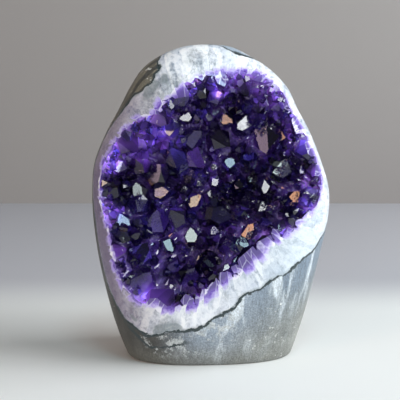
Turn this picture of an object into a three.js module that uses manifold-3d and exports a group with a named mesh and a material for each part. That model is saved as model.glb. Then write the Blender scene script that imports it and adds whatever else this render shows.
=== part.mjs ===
// An amethyst geode cut as a standing piece: a thick chip of geode wall, sawn flat underneath and
// ground smooth all round, with its crystal-lined hollow facing the front. Three layers grew on each
// other: the grey basalt that held the geode, a band of white quartz, and the crust of amethyst.
// Millimetres, +Z up, the hollow faces -Y. The origin is at the middle of the underside.
import * as THREE from "three";
import { ConvexGeometry } from "three/addons/geometries/ConvexGeometry.js";
import { mergeVertices } from "three/addons/utils/BufferGeometryUtils.js";
import Module from "manifold-3d";

const wasm = await Module();
wasm.setup();

// The ground outside, level by level: height, left edge, right edge, front, back.
const LEVELS = [
  [0, -40.5, 39.0, -26.5, 31.0],
  [8, -43.8, 41.6, -30.0, 33.0],
  [20, -47.8, 45.2, -34.0, 35.5],
  [35, -51.6, 49.2, -37.0, 37.4],
  [50, -54.6, 52.6, -38.3, 38.0],
  [66, -56.6, 56.2, -38.4, 37.6],
  [80, -57.0, 56.6, -37.2, 36.2],
  [93, -55.8, 53.0, -35.0, 33.6],
  [107, -50.2, 47.4, -31.5, 29.6],
  [119, -43.6, 41.0, -27.0, 25.4],
  [129, -38.4, 36.0, -22.0, 21.0],
  [138, -32.0, 27.0, -16.5, 16.5],
  [144.4, -22.5, 16.5, -11.5, 11.5],
  [147.9, -12.5, 8.5, -6.5, 6.5],
  [149, -2.0, -2.0, 0.0, 0.0],
];
const SQUARENESS = 2.5; // 2 would make every level an ellipse
const TURN = THREE.MathUtils.degToRad(5); // the whole stone stands turned a little
const OUTSIDE_RINGS = 19;
const OUTSIDE_SIDES = 36;

// The hollow, seen from the front as a loop about its middle: direction in degrees from +X
// towards +Z, distance from the middle, and the depth y there.
const MIDDLE = { x: -1, z: 84 };
const MOUTH = [
  [0, 53.6, -14.5],
  [12, 52.5, -12.5],
  [27, 51.5, -12.2],
  [41, 52.5, -12.0],
  [55, 57.0, -9.5],
  [67, 56.5, -12.0],
  [79, 53.5, -16.2],
  [93, 51.8, -18.2],
  [105, 48.5, -21.4],
  [116, 46.0, -23.4],
  [127, 43.0, -25.8],
  [140, 46.4, -23.4],
  [153, 48.4, -22.2],
  [166, 50.3, -20.6],
  [180, 51.6, -20.4],
  [193, 51.4, -23.2],
  [206, 51.7, -26.8],
  [218, 57.2, -26.9],
  [235, 62.4, -30.4],
  [250, 59.8, -35.0],
  [262, 54.0, -36.6],
  [276, 45.5, -37.2],
  [292, 41.8, -36.4],
  [308, 40.0, -34.8],
  [320, 39.6, -33.4],
  [332, 43.5, -29.8],
  [345, 50.3, -23.2],
];
const HOLLOW_FLOOR = -7; // y at the middle of the hollow, under the crystals
const HOLLOW_STEEPNESS = 3.6; // how late the floor turns up into the wall

// The seam where white quartz meets basalt, in the same terms as the mouth.
const SEAM = [
  [0, 57.0, 8.0],
  [20, 56.0, 9.0],
  [45, 56.5, 8.0],
  [64, 61.0, 2.0],
  [77, 62.0, -6.5],
  [90, 63.5, -1.0],
  [97, 64.0, 3.0],
  [104, 63.5, 5.0],
  [110, 62.5, 3.5],
  [113.5, 59.5, -12.5],
  [118, 56.0, -16.5],
  [124, 54.0, -17.5],
  [132, 53.2, -16.0],
  [147, 53.0, -11.6],
  [163, 53.5, -9.0],
  [180, 54.5, -10.0],
  [200, 56.5, -14.5],
  [217, 63.0, -16.5],
  [230, 70.7, -20.0],
  [243, 75.5, -27.0],
  [256, 69.5, -32.5],
  [268, 64.0, -34.5],
  [279, 57.0, -35.0],
  [290, 52.5, -34.8],
  [303, 52.0, -32.5],
  [318, 54.5, -26.5],
  [331, 58.5, -17.0],
  [345, 59.0, -3.0],
];
const SEAM_FLOOR = 6;
const SEAM_STEEPNESS = 2.4;

const BOWL_RINGS = 8; // from the middle of a bowl to its rim
const BOWL_SIDES = 32;
const BOWL_REACH = 1.45; // how far a bowl runs on past its rim, times the rim's distance
const FRONT_PLANE = -75; // well in front of the stone
const LAYER_GAP = 0.3; // left between two layers

// Amethyst: six-sided prisms with three broad tip faces, and small ones on some edges between them.
// Lengths on a crystal are given times its radius. Of two numbers drawn between by chance, the
// first is the least and the second the most.
const TIP_SLOPE = 1.27; // rise over run of a tip face, quartz's own 51.8 degrees
const BROAD_FACE = -0.3; // height of the broadest face of a large crystal's tip against a plain tip
const OTHER_FACES = 0.1; // and of the two others
const UNEVEN_FACES = [-0.25, 0.25]; // the same for the faces of every other crystal
const SMALL_FACES = 0.5; // share of the tip edges that a small face cuts off
const SMALL_FACE_CUT = [0.15, 0.6]; // how far down the edge from the tip such a face starts
const CRUST = 1.6; // thickness of the crust that joins the crystals, in mm
const ROOT = 2.4; // how deep a crystal starts in that crust, in mm
const LARGE_COUNTS = 500; // where the large crystals' own counts start
const LARGE_LENGTH = 0.5; // length of the sides
const LARGE_RISE = [3, 0.65]; // how far the face stands off the floor: in mm, and times the radius
const LARGE_TIP = 0.8; // how far the tip lies from the middle of that face

// Crystals that fill the hollow between the large ones.
const FILLERS = 140; // places for them, of which the large ones take some
const FILLER_RADIUS = [3.8, 5.6];
const FILLER_LENGTH = [0.1, 0.6];
const FILLER_OVERLAP = 0.42; // how near a large crystal's outline its middle may come
const FILLER_REACH = 1.04; // how far out the outermost stand, 1 being the mouth
const SHARE_STRAY = 0.0175; // strays from the sunflower's order, outwards and round
const ANGLE_STRAY = 0.08;
const GOLDEN_ANGLE = Math.PI * (3 - Math.sqrt(5));
const LEAN_OUT = 0.8; // pull of the floor's own direction on a crystal
const LEAN_ASIDE = 0.5; // and by chance to every side
const LEAN_FRONT = [0.35, 0.65]; // and to the front
const CLEARANCE = [0.5, 2]; // how far behind the ground outside a tip ends, in mm
const BELLY = -38; // y where the ground outside comes furthest forward
const GROUND_SIDE = THREE.MathUtils.degToRad(-60); // towards here the crystals were ground off flush
const GROUND_SPREAD = Math.acos(0.75); // this far to both sides of it
const GROUND_SINK = 0.3; // share of the clearance that is kept there

// Ways that a broad tip face can look: degrees to the right of straight ahead, degrees upwards.
const LOOKS = {
  right: [28, 21],
  up: [7, 34],
  left: [-22, 12],
  front: [-10, 6],
  low: [4, -14],
  side: [-34, 3],
  dim: [8, 12],
};

// The large crystals, one by one: x and z of the middle of the face that shows, the crystal's
// radius, where that face looks, and which way its point lies, in degrees from +X towards +Z.
const LARGE = [
  [-9.5, 60, 3.9, "front", 95],
  [17.5, 63, 4.3, "left", 60],
  [15, 111.5, 5.7, "right", 215],
  [7.5, 113.5, 3.8, "left", 330],
  [2, 125, 4.1, "left", 10],
  [15.5, 127, 3.8, "front", 300],
  [5, 132, 3.8, "up", 280],
  [33, 92, 5.1, "front", 60],
  [32, 106, 3.4, "left", 340],
  [24, 103.5, 7.2, "side", 290],
  [38.5, 78, 4.4, "left", 50],
  [23.5, 72.5, 3.4, "right", 230],
  [15, 57, 3.8, "up", 330],
  [6.5, 46, 4.1, "front", 80],
  [12, 49, 3.3, "up", 250],
  [-42.5, 93.5, 3.8, "front", 60],
  [-34.5, 81, 4.6, "front", 100],
  [-23, 80, 4.1, "left", 0],
  [-26.5, 89.5, 6.4, "side", 40],
  [-7.5, 76.5, 4.3, "left", 30],
  [-40.5, 67.5, 4.6, "up", 320],
  [-12.5, 115, 3.6, "right", 210],
  [8.5, 93, 3.3, "up", 260],
  [19, 86.5, 3.3, "up", 240],
  [2, 84.5, 3.3, "right", 220],
  [-19.5, 110, 4.8, "left", 280],
  [25.5, 82, 4.1, "right", 240],
  [-1, 47.5, 6.4, "low", 100],
  [-9.5, 42, 6, "low", 70],
  [-19.5, 54.5, 3.8, "up", 290],
  [47.5, 90, 3.9, "up", 250],
  [46.5, 80, 3.9, "front", 30],
  [8, 55.5, 5.6, "low", 110],
  [-42.5, 54, 5.2, "dim", 20],
  [-31, 40, 7.4, "low", 60],
  [-21, 33.5, 7.6, "dim", 50],
  [-25.5, 67, 6.4, "low", 90],
  [-6, 95, 6, "dim", 300],
  [5.5, 104, 5.4, "dim", 320],
  [31, 65, 4.4, "up", 230],
  [25, 57.5, 5.4, "low", 70],
  [18, 51, 7, "low", 85],
  [41, 111, 5, "dim", 240],
  [43, 100, 5, "dim", 200],
  [-14, 125.5, 5.6, "low", 80],
  [-37, 103, 6, "dim", 320],
  [-32, 53, 5.8, "dim", 60],
  [-7.5, 105.5, 5.4, "low", 50],
  [-17, 68, 5.4, "low", 120],
  [5.5, 69, 5.6, "dim", 350],
  [-16.5, 97, 5.6, "dim", 120],
];

// A number from 0 to 1 that is always the same for the same two counts.
function chance(n, k) {
  const s = Math.sin(n * 12.9898 + k * 78.233) * 43758.5453;
  return s - Math.floor(s);
}

// A number drawn by chance between the two given.
function draw([least, most], n, k) {
  return least + (most - least) * chance(n, k);
}

// Cubic curve through rows of numbers at whole positions 0, 1, 2..., read at any position.
function along(rows, at, column) {
  const last = rows.length - 1;
  const i = Math.min(Math.floor(at), last - 1);
  const t = at - i;
  const slope = (k) => {
    const low = Math.max(k - 1, 0);
    const high = Math.min(k + 1, last);
    return (rows[high][column] - rows[low][column]) / (high - low);
  };
  return (
    (1 + 2 * t) * (1 - t) ** 2 * rows[i][column] +
    t * (1 - t) ** 2 * slope(i) +
    t * t * (3 - 2 * t) * rows[i + 1][column] +
    t * t * (t - 1) * slope(i + 1)
  );
}

// Cubic curve round a closed loop of rows whose first number is a direction in degrees.
function around(loop, degrees, column) {
  const n = loop.length;
  const row = (k) => loop[((k % n) + n) % n];
  const angle = (k) => row(k)[0] + 360 * Math.floor(k / n);
  const at = ((degrees % 360) + 360) % 360;
  let i = n - 1;
  while (i > 0 && loop[i][0] > at) i -= 1;
  const width = angle(i + 1) - angle(i);
  const t = (at - angle(i)) / width;
  const slope = (k) => (row(k + 1)[column] - row(k - 1)[column]) / (angle(k + 1) - angle(k - 1));
  return (
    (1 + 2 * t) * (1 - t) ** 2 * row(i)[column] +
    t * (1 - t) ** 2 * width * slope(i) +
    t * t * (3 - 2 * t) * row(i + 1)[column] +
    t * t * (t - 1) * width * slope(i + 1)
  );
}

// A closed geometry as a solid. Each corner is first moved by the function given.
function solid(geometry, move = (corner) => corner) {
  const bare = geometry.clone();
  bare.deleteAttribute("normal");
  bare.deleteAttribute("uv");
  const places = bare.getAttribute("position");
  const corner = new THREE.Vector3();
  for (let i = 0; i < places.count; i += 1) {
    move(corner.fromBufferAttribute(places, i));
    places.setXYZ(i, corner.x, corner.y, corner.z);
  }
  const merged = mergeVertices(bare, 1e-4);
  const triVerts = new Uint32Array(merged.index.array).filter((_, i, all) => {
    const [a, b, c] = all.slice(i - (i % 3), i - (i % 3) + 3);
    return a !== b && b !== c && c !== a;
  });
  const build = (order) =>
    new wasm.Manifold(
      new wasm.Mesh({ numProp: 3, vertProperties: merged.attributes.position.array, triVerts: order }),
    );
  const made = build(triVerts);
  return made.volume() > 0 ? made : build(triVerts.reverse());
}

// The ground outside as a solid: a lathed drum whose rings take the form of the levels.
function outside() {
  const top = LEVELS.length - 1;
  const profile = [new THREE.Vector2(0, 0)];
  for (let k = 0; k < OUTSIDE_RINGS; k += 1) {
    profile.push(new THREE.Vector2(1, (top * k) / OUTSIDE_RINGS));
  }
  profile.push(new THREE.Vector2(0, top));
  return solid(new THREE.LatheGeometry(profile, OUTSIDE_SIDES), (corner) => {
    const onRing = Math.hypot(corner.x, corner.z) > 0.5;
    const c = onRing ? corner.x : 0;
    const s = onRing ? corner.z : 0;
    const [height, left, right, front, back] = [0, 1, 2, 3, 4].map((k) => along(LEVELS, corner.y, k));
    const reach = onRing
      ? (Math.abs(c) ** SQUARENESS + Math.abs(s) ** SQUARENESS) ** (-1 / SQUARENESS)
      : 0;
    const across = ((right - left) / 2) * reach * c;
    const deep = (s < 0 ? -front : back) * reach * s;
    corner.set(
      (left + right) / 2 + across * Math.cos(TURN) - deep * Math.sin(TURN),
      across * Math.sin(TURN) + deep * Math.cos(TURN),
      height,
    );
  });
}

// A point of a bowl: share is 0 at its middle and 1 on its loop, angle is in radians.
function bowlPoint(bowl, share, angle) {
  const degrees = THREE.MathUtils.radToDeg(angle);
  const reach = share * around(bowl.loop, degrees, 1);
  const rim = around(bowl.loop, degrees, 2);
  const depth = bowl.floor - (bowl.floor - rim) * share ** bowl.steepness;
  return new THREE.Vector3(MIDDLE.x + reach * Math.cos(angle), depth, MIDDLE.z + reach * Math.sin(angle));
}

// The direction a bowl faces at a point, towards the front.
function bowlNormal(bowl, share, angle) {
  const step = 0.01;
  const from = Math.max(share, step);
  const outward = bowlPoint(bowl, from + step, angle).sub(bowlPoint(bowl, from - step, angle));
  const round = bowlPoint(bowl, from, angle + step).sub(bowlPoint(bowl, from, angle - step));
  return share < step ? new THREE.Vector3(0, -1, 0) : outward.cross(round).normalize();
}

// Everything in front of a bowl's surface, which is first raised by lift along its own normal.
function inFrontOf(bowl, lift) {
  const profile = [];
  for (let k = 0; k <= BOWL_RINGS; k += 1) profile.push(new THREE.Vector2(k / BOWL_RINGS, 0));
  profile.push(new THREE.Vector2(BOWL_REACH, 0));
  profile.push(new THREE.Vector2(BOWL_REACH, 1));
  profile.push(new THREE.Vector2(0, 1));
  return solid(new THREE.LatheGeometry(profile, BOWL_SIDES), (corner) => {
    const share = Math.hypot(corner.x, corner.z);
    const angle = Math.atan2(corner.z, corner.x);
    const atFront = corner.y > 0.5;
    const place = bowlPoint(bowl, share, angle).addScaledVector(bowlNormal(bowl, share, angle), lift);
    corner.set(place.x, atFront ? FRONT_PLANE : place.y, place.z);
  });
}

// One crystal, standing along +Z from its root, as the hull of its corners. Each of its three broad
// tip faces is a plane of the same slope at its own height. The edge between two of them runs down
// to the crystal's side, or only a little way, where a small face cuts off the rest. The first face
// is the lowest, so the broadest, if broad says so.
function crystal(count, radius, length, broad) {
  const faces = [0, 1, 2].map((j) => {
    const planned = j === 0 ? BROAD_FACE : OTHER_FACES;
    const uneven = broad ? planned : draw(UNEVEN_FACES, count, 11 + j);
    const height = length + radius * (TIP_SLOPE * Math.cos(Math.PI / 6) + uneven);
    return { angle: Math.PI / 6 + (j * 2 * Math.PI) / 3, height };
  });
  const tip = new THREE.Vector3();
  for (const { angle, height } of faces) {
    const share = (2 * height) / (3 * TIP_SLOPE);
    tip.add(new THREE.Vector3(share * Math.cos(angle), share * Math.sin(angle), height / 3));
  }
  const corners = [tip];
  faces.forEach(({ angle, height }, j) => {
    const cut = radius * draw(SMALL_FACE_CUT, count, 21 + j);
    const between = angle + Math.PI / 3;
    const edge = new THREE.Vector3(Math.cos(between), Math.sin(between), -TIP_SLOPE / 2);
    const out = radius * Math.cos(Math.PI / 6) - tip.x * Math.cos(between) - tip.y * Math.sin(between);
    const down = chance(count, 31 + j) < SMALL_FACES ? cut : out;
    corners.push(tip.clone().addScaledVector(edge, down));
    for (const side of [-1, 1]) {
      const at = angle + (side * Math.PI) / 6;
      const x = radius * Math.cos(at);
      const y = radius * Math.sin(at);
      const shoulder = height - TIP_SLOPE * (x * Math.cos(angle) + y * Math.sin(angle));
      corners.push(new THREE.Vector3(x, y, shoulder), new THREE.Vector3(x, y, -ROOT));
    }
  });
  return { geometry: new ConvexGeometry(corners), tip };
}

// Share and angle of the bowl's point that lies at a given x and z.
function bowlPlace(bowl, x, z) {
  const angle = Math.atan2(z - MIDDLE.z, x - MIDDLE.x);
  const rim = around(bowl.loop, THREE.MathUtils.radToDeg(angle), 1);
  return [Math.hypot(x - MIDDLE.x, z - MIDDLE.z) / rim, angle];
}

// The large crystals. Each is turned until its first tip face looks its way, with the tip on the
// side given, and the middle of that face stands a little in front of the hollow's floor.
function largeCrystals() {
  const lengthwise = 1 / Math.hypot(1, TIP_SLOPE); // of a tip face's own direction, along the crystal
  const across = TIP_SLOPE * lengthwise;
  return LARGE.map(([x, z, radius, look, point], i) => {
    const [aside, upwards] = LOOKS[look].map(THREE.MathUtils.degToRad);
    const face = new THREE.Vector3(
      Math.sin(aside) * Math.cos(upwards),
      -Math.cos(aside) * Math.cos(upwards),
      Math.sin(upwards),
    );
    const lie = THREE.MathUtils.degToRad(point);
    const uphill = new THREE.Vector3(Math.cos(lie), 0, Math.sin(lie)).projectOnPlane(face).normalize();
    const axis = face.clone().multiplyScalar(lengthwise).addScaledVector(uphill, across);
    const downhill = face.clone().multiplyScalar(across).addScaledVector(uphill, -lengthwise);
    const turn = new THREE.Matrix4().makeBasis(downhill, axis.clone().cross(downhill), axis);
    turn.multiply(new THREE.Matrix4().makeRotationZ(-Math.PI / 6));
    const { geometry, tip } = crystal(LARGE_COUNTS + i, radius, LARGE_LENGTH * radius, true);
    const middle = bowlPoint(HOLLOW, ...bowlPlace(HOLLOW, x, z));
    middle.y -= LARGE_RISE[0] + LARGE_RISE[1] * radius;
    const root = middle.addScaledVector(uphill, LARGE_TIP * radius).sub(tip.applyMatrix4(turn));
    return solid(geometry.applyMatrix4(turn.setPosition(root)));
  });
}

// Crystals that fill the hollow, in a sunflower's order, pointing out of it, clear of the large
// ones. The ground outside over them comes forward from the rim to its belly, as the square of the
// share falls; where a tip would stand in front of it the crystal stands deeper.
function fillerCrystals() {
  const made = [];
  const up = new THREE.Vector3(0, 0, 1);
  for (let i = 0; i < FILLERS; i += 1) {
    const ordered = FILLER_REACH * Math.sqrt((i + 0.5) / FILLERS);
    const share = ordered + draw([-SHARE_STRAY, SHARE_STRAY], i, 1);
    const angle = i * GOLDEN_ANGLE + draw([-ANGLE_STRAY, ANGLE_STRAY], i, 2);
    const radius = draw(FILLER_RADIUS, i, 3);
    const root = bowlPoint(HOLLOW, share, angle);
    const taken = ([x, z, large]) => {
      return Math.hypot(root.x - x, root.z - z) < large + FILLER_OVERLAP * radius;
    };
    if (LARGE.some(taken)) continue;
    const aside = draw([-LEAN_ASIDE, LEAN_ASIDE], i, 5);
    const upwards = draw([-LEAN_ASIDE, LEAN_ASIDE], i, 7);
    const axis = bowlNormal(HOLLOW, share, angle).multiplyScalar(LEAN_OUT);
    axis.add(new THREE.Vector3(aside, -draw(LEAN_FRONT, i, 6), upwards)).normalize();
    const turn = new THREE.Quaternion().setFromUnitVectors(up, axis);
    turn.multiply(new THREE.Quaternion().setFromAxisAngle(up, 2 * Math.PI * chance(i, 8)));
    const { geometry, tip } = crystal(i, radius, radius * draw(FILLER_LENGTH, i, 4), false);
    const rim = around(HOLLOW.loop, THREE.MathUtils.radToDeg(angle), 2);
    const cover = BELLY + (rim - BELLY) * Math.min(share, 1) ** 2;
    const proud = cover + draw(CLEARANCE, i, 10) - root.y - tip.applyQuaternion(turn).y;
    const ground = Math.cos(angle - GROUND_SIDE) > Math.cos(GROUND_SPREAD);
    root.addScaledVector(axis, ((ground ? GROUND_SINK : 1) * Math.max(proud, 0)) / axis.y);
    geometry.applyMatrix4(new THREE.Matrix4().compose(root, turn, new THREE.Vector3(1, 1, 1)));
    made.push(solid(geometry));
  }
  return made;
}

const HOLLOW = { loop: MOUTH, floor: HOLLOW_FLOOR, steepness: HOLLOW_STEEPNESS };
const INTERFACE = { loop: SEAM, floor: SEAM_FLOOR, steepness: SEAM_STEEPNESS };

// A named mesh of a solid, in its own colour and gloss.
function piece(name, shape, { color, roughness }) {
  const { vertProperties, triVerts } = shape.getMesh();
  const geometry = new THREE.BufferGeometry()
    .setAttribute("position", new THREE.BufferAttribute(vertProperties, 3))
    .setIndex(new THREE.BufferAttribute(triVerts, 1));
  geometry.computeVertexNormals();
  const material = new THREE.MeshStandardMaterial({ color, roughness, metalness: 0, flatShading: true });
  const mesh = new THREE.Mesh(geometry, material);
  mesh.name = name;
  return mesh;
}

const stone = outside();
const basalt = stone.subtract(inFrontOf(INTERFACE, 0));
const quartz = stone.intersect(inFrontOf(INTERFACE, LAYER_GAP)).subtract(inFrontOf(HOLLOW, 0));
const hollow = inFrontOf(HOLLOW, LAYER_GAP);
const crystals = wasm.Manifold.union([...largeCrystals(), ...fillerCrystals()]);
const openSpace = inFrontOf(HOLLOW, LAYER_GAP + CRUST).subtract(crystals);
const amethyst = hollow.intersect(stone).subtract(openSpace);

const geode = new THREE.Group();
geode.name = "amethyst_geode";
geode.add(
  piece("basalt_matrix", basalt, { color: 0x7c7d76, roughness: 0.55 }),
  piece("quartz_band", quartz, { color: 0xe4e2ea, roughness: 0.3 }),
  piece("amethyst_crystals", amethyst, { color: 0x3a1d6e, roughness: 0.08 }),
);

export default geode;
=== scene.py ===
import bpy
import numpy as np
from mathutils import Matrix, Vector

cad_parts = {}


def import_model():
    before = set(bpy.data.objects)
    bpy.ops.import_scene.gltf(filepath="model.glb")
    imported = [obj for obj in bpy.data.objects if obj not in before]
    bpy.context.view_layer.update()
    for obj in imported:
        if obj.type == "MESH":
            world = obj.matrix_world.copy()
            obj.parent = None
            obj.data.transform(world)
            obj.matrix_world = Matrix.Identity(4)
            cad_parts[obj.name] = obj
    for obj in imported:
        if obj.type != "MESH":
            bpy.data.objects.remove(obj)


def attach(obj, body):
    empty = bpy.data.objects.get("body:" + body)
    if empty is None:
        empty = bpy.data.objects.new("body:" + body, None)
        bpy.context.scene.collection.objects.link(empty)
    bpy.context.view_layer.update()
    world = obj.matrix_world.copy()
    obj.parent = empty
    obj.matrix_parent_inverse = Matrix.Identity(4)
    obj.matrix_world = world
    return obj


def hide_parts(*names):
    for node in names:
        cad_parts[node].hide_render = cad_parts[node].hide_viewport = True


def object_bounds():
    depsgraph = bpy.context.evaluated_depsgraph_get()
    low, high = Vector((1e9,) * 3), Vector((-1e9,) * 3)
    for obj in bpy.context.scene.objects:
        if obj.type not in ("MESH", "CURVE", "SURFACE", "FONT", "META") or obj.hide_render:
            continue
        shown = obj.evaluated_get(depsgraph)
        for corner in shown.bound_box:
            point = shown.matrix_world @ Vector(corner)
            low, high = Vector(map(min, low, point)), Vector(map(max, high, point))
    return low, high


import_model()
cad_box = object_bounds()

# The basalt. It is the rock that held the geode: dense, grey, with the whole back and the foot.
# The piece was sawn off flat underneath, then ground all round through all three of its layers,
# so one ground outside bounds every layer, and the basalt ends at a wandering seam.
MM = 0.001  # one millimetre, in metres
# height, left edge, right edge, front, back of the ground outside, in mm, level by level
LEVELS = np.array([
    [0, -40.5, 39.0, -26.5, 31.0],
    [8, -43.8, 41.6, -30.0, 33.0],
    [20, -47.8, 45.2, -34.0, 35.5],
    [35, -51.6, 49.2, -37.0, 37.4],
    [50, -54.6, 52.6, -38.3, 38.0],
    [66, -56.6, 56.2, -38.4, 37.6],
    [80, -57.0, 56.6, -37.2, 36.2],
    [93, -55.8, 53.0, -35.0, 33.6],
    [107, -50.2, 47.4, -31.5, 29.6],
    [119, -43.6, 41.0, -27.0, 25.4],
    [129, -38.4, 36.0, -22.0, 21.0],
    [138, -32.0, 27.0, -16.5, 16.5],
    [144.4, -22.5, 16.5, -11.5, 11.5],
    [147.9, -12.5, 8.5, -6.5, 6.5],
    [149, -2.0, -2.0, 0.0, 0.0],
])
SQUARENESS = 2.5  # 2 would make every level an ellipse
TURN = np.radians(5)  # the whole stone stands turned a little
FLAT_SHARE = 0.97  # share of the foot's outline that is flat, up to the rounded edge
FOOT_EDGE = 1.6  # height of that edge's rounding, in mm
OUTSIDE_RINGS = (5, 6, 190)  # under the foot, round its edge and up the side
OUTSIDE_SIDES = 240
MIDDLE = np.array([-1.0, 84.0])  # x and z of the hollow's middle, in mm
# direction in degrees about the middle, distance from it, and the depth y of the seam there
SEAM = np.array([
    [0, 57.0, 8.0],
    [20, 56.0, 9.0],
    [45, 56.5, 8.0],
    [64, 61.0, 2.0],
    [77, 62.0, -6.5],
    [90, 63.5, -1.0],
    [97, 64.0, 3.0],
    [104, 63.5, 5.0],
    [110, 62.5, 3.5],
    [113.5, 59.5, -12.5],
    [118, 56.0, -16.5],
    [124, 54.0, -17.5],
    [132, 53.2, -16.0],
    [147, 53.0, -11.6],
    [163, 53.5, -9.0],
    [180, 54.5, -10.0],
    [200, 56.5, -14.5],
    [217, 63.0, -16.5],
    [230, 70.7, -20.0],
    [243, 75.5, -27.0],
    [256, 69.5, -32.5],
    [268, 64.0, -34.5],
    [279, 57.0, -35.0],
    [290, 52.5, -34.8],
    [303, 52.0, -32.5],
    [318, 54.5, -26.5],
    [331, 58.5, -17.0],
    [345, 59.0, -3.0],
])
SEAM_BOWL = (SEAM, 6, 2.4)  # its loop, its depth y at the middle, and how late it turns up
SEAM_WANDER = 0.8  # how far the seam strays from its smooth course, in mm
SEAM_GRID = (60, 420)  # rings from the middle out, and points in each
# direction in degrees about the middle, distance from it, and the depth y of the hollow's mouth there
MOUTH = np.array([
    [0, 53.6, -14.5],
    [12, 52.5, -12.5],
    [27, 51.5, -12.2],
    [41, 52.5, -12.0],
    [55, 57.0, -9.5],
    [67, 56.5, -12.0],
    [79, 53.5, -16.2],
    [93, 51.8, -18.2],
    [105, 48.5, -21.4],
    [116, 46.0, -23.4],
    [127, 43.0, -25.8],
    [140, 46.4, -23.4],
    [153, 48.4, -22.2],
    [166, 50.3, -20.6],
    [180, 51.6, -20.4],
    [193, 51.4, -23.2],
    [206, 51.7, -26.8],
    [218, 57.2, -26.9],
    [235, 62.4, -30.4],
    [250, 59.8, -35.0],
    [262, 54.0, -36.6],
    [276, 45.5, -37.2],
    [292, 41.8, -36.4],
    [308, 40.0, -34.8],
    [320, 39.6, -33.4],
    [332, 43.5, -29.8],
    [345, 50.3, -23.2],
])
HOLLOW = (MOUTH, -7, 3.6)  # its loop, its depth y at the middle, and how late it turns up
BOWL_REACH = 1.45  # how far a bowl runs on past its rim, times the rim's distance
FRONT_PLANE = -75  # well in front of the stone
GRAIN_REACH = 60  # mm from the middle to where the winding grain is true to size
GRAIN_ALONG = 0.35  # share of its length that the grain keeps square to the seam
SHARP_EDGE = np.radians(35)  # edges that turn by more than this stay sharp


def cubic(rows, slope, low, t, width=1):
    """The cubic from row low to the next, at the share t of the way, with the slopes given at its
    two ends; width is how far apart the rows stand."""
    return (
        (1 + 2 * t) * (1 - t) ** 2 * rows[low]
        + t * (1 - t) ** 2 * width * slope[low]
        + t * t * (3 - 2 * t) * rows[low + 1]
        + t * t * (t - 1) * width * slope[low + 1]
    )


def curve(rows, at):
    """Smooth curve through rows that stand at 0, 1, 2 and so on. Between two rows it is the cubic
    whose slopes at both ends are half the step from the row before to the row after."""
    low = np.clip(np.floor(at).astype(int), 0, len(rows) - 2)
    t = (at - low)[..., None]
    return cubic(rows, np.gradient(rows, axis=0), low, t)


def around(loop, degrees):
    """Smooth closed curve through a loop of rows whose first number is a direction in degrees:
    between two rows a cubic, with slopes taken from the neighbours on both sides."""
    turns = [loop + [360 * k, 0, 0] for k in (-1, 0, 1)]
    rows = np.concatenate([turns[0][-2:], turns[1], turns[2][:3]])
    at = np.mod(degrees, 360)
    low = np.clip(np.searchsorted(rows[:, 0], at, side="right") - 1, 1, len(rows) - 3)
    width = rows[low + 1, 0] - rows[low, 0]
    t = ((at - rows[low, 0]) / width)[..., None]
    slope = np.zeros_like(rows)
    slope[1:-1] = (rows[2:] - rows[:-2]) / (rows[2:, :1] - rows[:-2, :1])
    both = cubic(rows, slope, low, t, width[..., None])
    return both[..., 1], both[..., 2]


def wave(place, length, seed):
    """Irregular wave, mostly from -1 to 1: 2.2 times the mean of seven sines that run in seven
    directions through space, each with a length near the one given, in mm."""
    draws = np.random.default_rng(seed)
    ways = draws.normal(size=(7, 3))
    ways /= np.linalg.norm(ways, axis=1, keepdims=True)
    ways *= 2 * np.pi / (length * draws.uniform(0.7, 1.5, (7, 1)))
    return np.sin(place @ ways.T + draws.uniform(0, 2 * np.pi, 7)).mean(axis=-1) * 2.2


def ground_outside(level, angle, inset):
    """The ground outside: at each level a squared ellipse through that level's four edges, drawn
    in by inset (1 is the full outline), and turned with the stone."""
    height, left, right, front, back = np.moveaxis(curve(LEVELS, level), -1, 0)
    c = np.cos(angle)
    s = np.sin(angle)
    reach = inset * (np.abs(c) ** SQUARENESS + np.abs(s) ** SQUARENESS) ** (-1 / SQUARENESS)
    across = (right - left) / 2 * reach * c
    deep = np.where(s < 0, -front, back) * reach * s
    x = (left + right) / 2 + across * np.cos(TURN) - deep * np.sin(TURN)
    y = across * np.sin(TURN) + deep * np.cos(TURN)
    return np.stack([x, y, height], axis=-1)


def bowl(form, share, angle):
    """A bowl about the middle that opens to the front: its depth goes from the floor, at share 0,
    to the loop's own depth, at share 1, as a power of the share."""
    loop, floor, steepness = form
    rim, depth = around(loop, np.degrees(angle))
    x = MIDDLE[0] + share * rim * np.cos(angle)
    z = MIDDLE[1] + share * rim * np.sin(angle)
    return np.stack([x, floor - (floor - depth) * share**steepness, z], axis=-1)


def facing(form, share, angle):
    """Direction in which a bowl faces, towards the front: the cross product of its slopes outwards
    and round, each taken over a small step to both sides."""
    step = 0.01
    share = np.maximum(share, step)
    outwards = bowl(form, share + step, angle) - bowl(form, share - step, angle)
    turning = bowl(form, share, angle + step) - bowl(form, share, angle - step)
    normal = np.cross(outwards, turning)
    return normal / np.linalg.norm(normal, axis=-1, keepdims=True)


def seen_from_front(loop, place):
    """Direction of a place about the middle, and how far out it lies as a share of the loop's
    distance in that direction."""
    x = place[:, 0] - MIDDLE[0]
    z = place[:, 2] - MIDDLE[1]
    angle = np.arctan2(z, x)
    rim, _ = around(loop, np.degrees(angle))
    return angle, np.hypot(x, z) / rim


def before(form, place):
    """Distance of a place in front of a bowl, in mm: the difference in depth, times how squarely
    the bowl faces the front there. It is negative behind the bowl."""
    angle, share = seen_from_front(form[0], place)
    share = np.minimum(share, BOWL_REACH)
    on = bowl(form, share, angle)
    return (on[:, 1] - place[:, 1]) * -facing(form, share, angle)[:, 1]


def placed(name, data):
    """An object of the data given, in the scene."""
    item = bpy.data.objects.new(name, data)
    bpy.context.collection.objects.link(item)
    return item


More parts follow.
